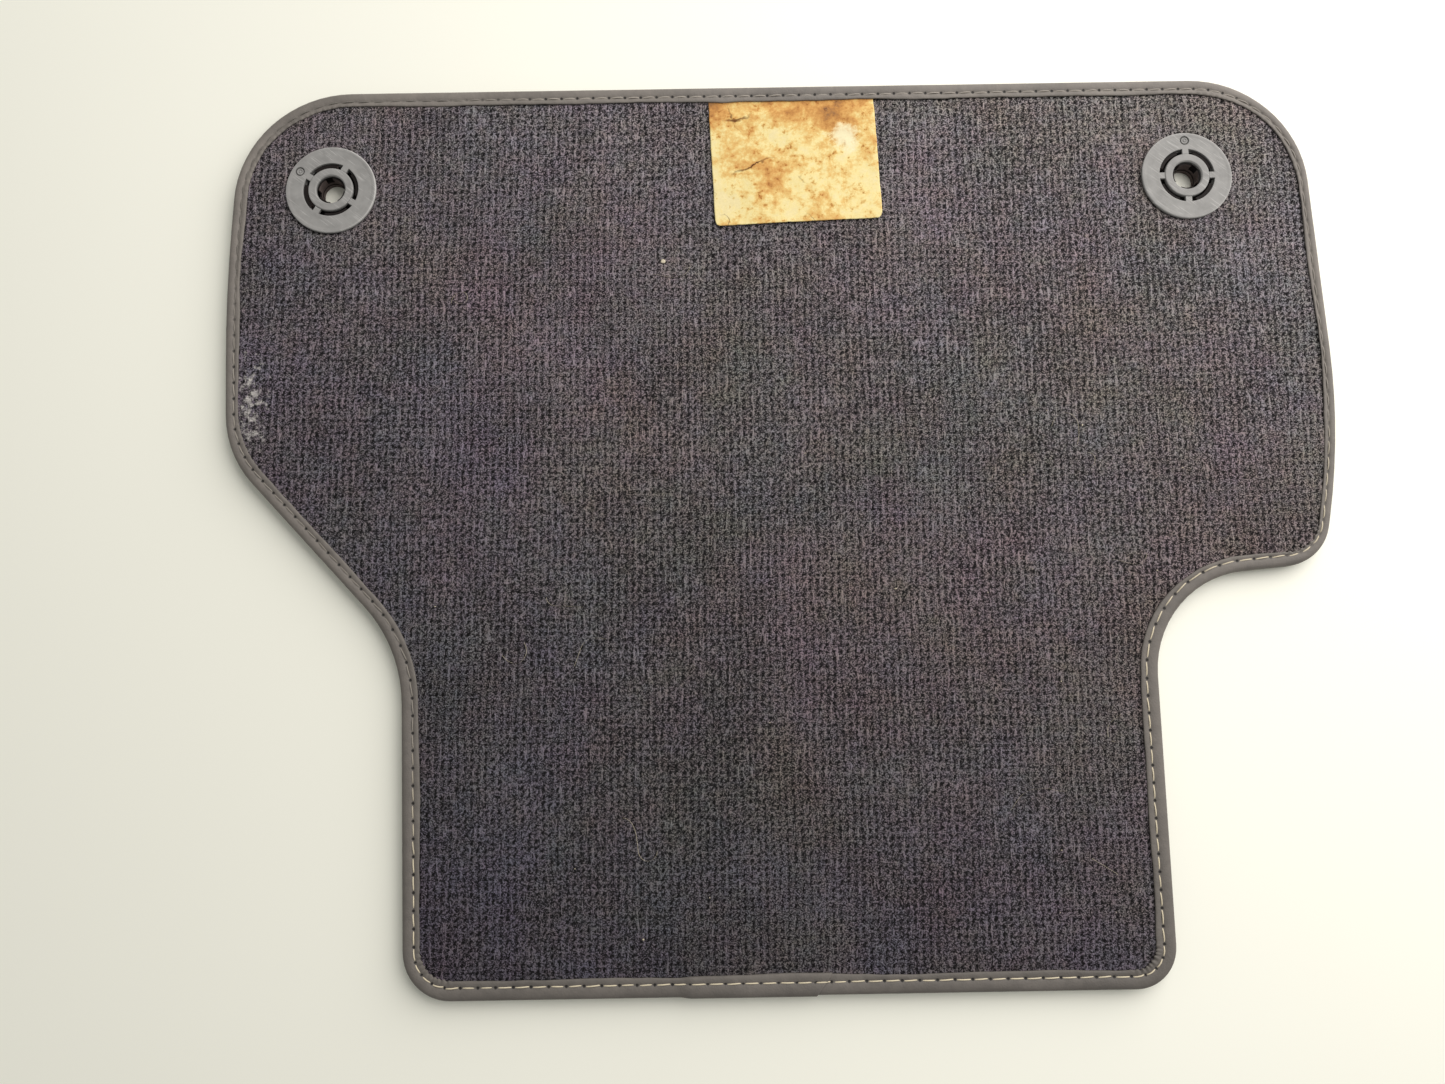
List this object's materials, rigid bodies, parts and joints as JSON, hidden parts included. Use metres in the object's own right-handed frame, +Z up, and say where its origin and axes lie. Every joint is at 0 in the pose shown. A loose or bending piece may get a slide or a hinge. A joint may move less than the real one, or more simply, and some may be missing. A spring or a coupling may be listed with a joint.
{
  "type": "car floor mat",
  "caption": "Tufted carpet mat for a car's rear footwell, lying face down, with a sewn edge binding, a paper label and snap clips that take floor studs.",
  "frame": {"origin": "on the ground under the middle of the mat as it lies face down", "axes": "+Z up out of the backing, +X along the long side, +Y towards the side with the two clips and the label"},
  "size_m": [0.5081, 0.4178, 0.0092],
  "materials": {
    "pile": "cut velour pile, charcoal",
    "primary_cloth": "woven polypropylene",
    "latex": "matt latex compound",
    "backing": "ribbed and dimpled non-slip backing, dark grey",
    "binding": "grey leatherette, fine grain, satin",
    "thread": "twisted polyester thread",
    "label_paper": "aged yellow paper, stained",
    "clip_back": "moulded polypropylene, mid grey, fine texture",
    "clip_face": "moulded polypropylene, dark grey"
  },
  "bodies": {
    "mat": {"pile_carpet": "pile", "primary_backing": "primary_cloth", "latex_layer": "latex", "backing_fabric": "backing", "edge_binding": "binding", "needle_thread": "thread", "bobbin_thread": "thread", "label_edge": "label_paper"},
    "label_flap": {"label": "label_paper"},
    "left_clip": {"left_back_disc": "clip_back", "left_face_disc": "clip_face"},
    "right_clip": {"right_back_disc": "clip_back", "right_face_disc": "clip_face"}
  },
  "joints": [
    {"name": "label_lift", "type": "hinge", "parent": "mat", "child": "label_flap", "pos_m": [0.0074, 0.19772, 0.0075], "axis": [-0.9999, -0.017, 0], "range_deg": [0, 110]},
    {"name": "left_clip_turn", "type": "hinge", "parent": "mat", "child": "left_clip", "pos_m": [-0.2077, 0.1533, 0.008], "axis": [0, 0, 1], "continuous": true},
    {"name": "right_clip_turn", "type": "hinge", "parent": "mat", "child": "right_clip", "pos_m": [0.1922, 0.1604, 0.008], "axis": [0, 0, 1], "continuous": true}
  ]
}
